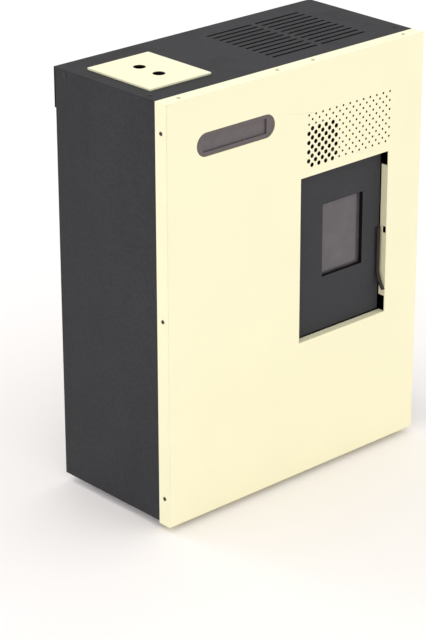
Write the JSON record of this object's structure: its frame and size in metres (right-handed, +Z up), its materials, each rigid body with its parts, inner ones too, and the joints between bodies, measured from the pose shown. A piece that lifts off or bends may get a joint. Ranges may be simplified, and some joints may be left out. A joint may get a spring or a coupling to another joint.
{
  "type": "pellet stove",
  "caption": "Slim free-standing pellet stove with a glazed fire door, a lift-off hopper lid, a slotted top, a perforated front and a rear flue outlet.",
  "frame": {"origin": "centre of the overall footprint at floor level, midway between the front and rear extremes", "axes": "+Z up, -Y towards the room (front panel and door), +X to the right as seen from the front"},
  "size_m": [0.7974, 0.425, 1.024],
  "materials": {
    "cream_paint": "satin powder coat",
    "anthracite_paint": "fine textured powder coat",
    "door_paint": "matt heat-proof paint",
    "handle_metal": "satin dark paint",
    "zinc_steel": "galvanised sheet",
    "heat_paint": "matt black heat-proof paint",
    "cast": "rough casting",
    "bare_steel": "machined",
    "screw_steel": "zinc plated",
    "black_plastic": "moulded",
    "smoked_plastic": "smoked",
    "board": "coated board",
    "grey_plastic": "moulded",
    "foot_rubber": "moulded",
    "rope": "woven rope",
    "clear_glass": "polished"
  },
  "bodies": {
    "cabinet": {"front_panel": "cream_paint", "cabinet_screws": "screw_steel", "left_side_panel": "anthracite_paint", "right_side_panel": "anthracite_paint", "top_cover": "anthracite_paint", "base_tray": "zinc_steel", "foot_pads": "foot_rubber", "foot_studs": "zinc_steel", "rear_panel": "anthracite_paint", "display_carrier": "smoked_plastic", "display_window": "smoked_plastic", "display_board": "board", "divider_wall": "zinc_steel", "firebox": "heat_paint", "firebox_stands": "zinc_steel", "baffle_plate": "heat_paint", "fireback": "cast", "pot_holder": "heat_paint", "ash_pan": "zinc_steel", "igniter": "bare_steel", "hinge_brackets": "bare_steel", "hinge_pins": "bare_steel", "latch_keeper": "bare_steel", "heat_exchanger": "heat_paint", "air_tubes": "bare_steel", "air_plenum": "zinc_steel", "blower_housing": "zinc_steel", "blower_motor": "heat_paint", "smoke_duct": "heat_paint", "smoke_fan_housing": "zinc_steel", "smoke_fan_motor": "heat_paint", "flue_spigot": "heat_paint", "air_pipe": "zinc_steel", "air_box": "zinc_steel", "hopper": "zinc_steel", "hopper_guard": "zinc_steel", "auger_tube": "heat_paint", "gear_motor": "bare_steel", "pellet_chute": "zinc_steel", "power_inlet": "black_plastic", "control_box": "grey_plastic", "safety_thermostat": "black_plastic", "pressure_switch": "grey_plastic"},
    "door": {"door_slab": "door_paint", "door_glass": "clear_glass", "glass_clips": "bare_steel", "door_gasket": "rope", "door_knuckles": "bare_steel"},
    "handle": {"door_handle": "handle_metal", "latch_cam": "bare_steel"},
    "lid": {"hopper_lid": "cream_paint", "lid_finger_trough": "black_plastic"},
    "auger": {"auger_screw": "bare_steel"},
    "blower_rotor": {"blower_wheel": "zinc_steel", "blower_shaft": "bare_steel"},
    "smoke_rotor": {"smoke_fan_wheel": "bare_steel", "smoke_fan_shaft": "bare_steel"},
    "pot": {"burn_pot": "cast"},
    "rocker": {"rocker_switch": "black_plastic"},
    "reset": {"reset_button": "grey_plastic"}
  },
  "joints": [
    {"name": "door_hinge", "type": "hinge", "parent": "cabinet", "child": "door", "pos_m": [0.013, -0.1772, 0.554], "axis": [0, 0, -1], "range_deg": [0, 90]},
    {"name": "handle_turn", "type": "hinge", "parent": "door", "child": "handle", "pos_m": [0.276, -0.1842, 0.558], "axis": [0, 1, 0], "range_deg": [0, 90]},
    {"name": "lid_lift", "type": "slide", "parent": "cabinet", "child": "lid", "axis": [0, 0, 1], "range_m": [0, 0.15]},
    {"name": "auger_turn", "type": "hinge", "parent": "cabinet", "child": "auger", "pos_m": [0.006, -0.0625, 0.646], "axis": [0.7071, 0, 0.7071], "continuous": true},
    {"name": "blower_spin", "type": "hinge", "parent": "cabinet", "child": "blower_rotor", "pos_m": [0.147, 0.0205, 0.23], "axis": [1, 0, 0], "continuous": true},
    {"name": "smoke_fan_spin", "type": "hinge", "parent": "cabinet", "child": "smoke_rotor", "pos_m": [0.312, -0.0545, 0.205], "axis": [1, 0, 0], "continuous": true},
    {"name": "burn_pot_lift", "type": "slide", "parent": "cabinet", "child": "pot", "axis": [0, 0, 1], "range_m": [0, 0.07]},
    {"name": "rocker_tilt", "type": "hinge", "parent": "cabinet", "child": "rocker", "pos_m": [-0.3155, 0.1665, 0.092], "axis": [1, 0, 0], "range_deg": [-8, 8]},
    {"name": "reset_press", "type": "slide", "parent": "cabinet", "child": "reset", "axis": [0, -1, 0], "range_m": [0, 0.0015], "stiffness_N_per_m": 400}
  ]
}
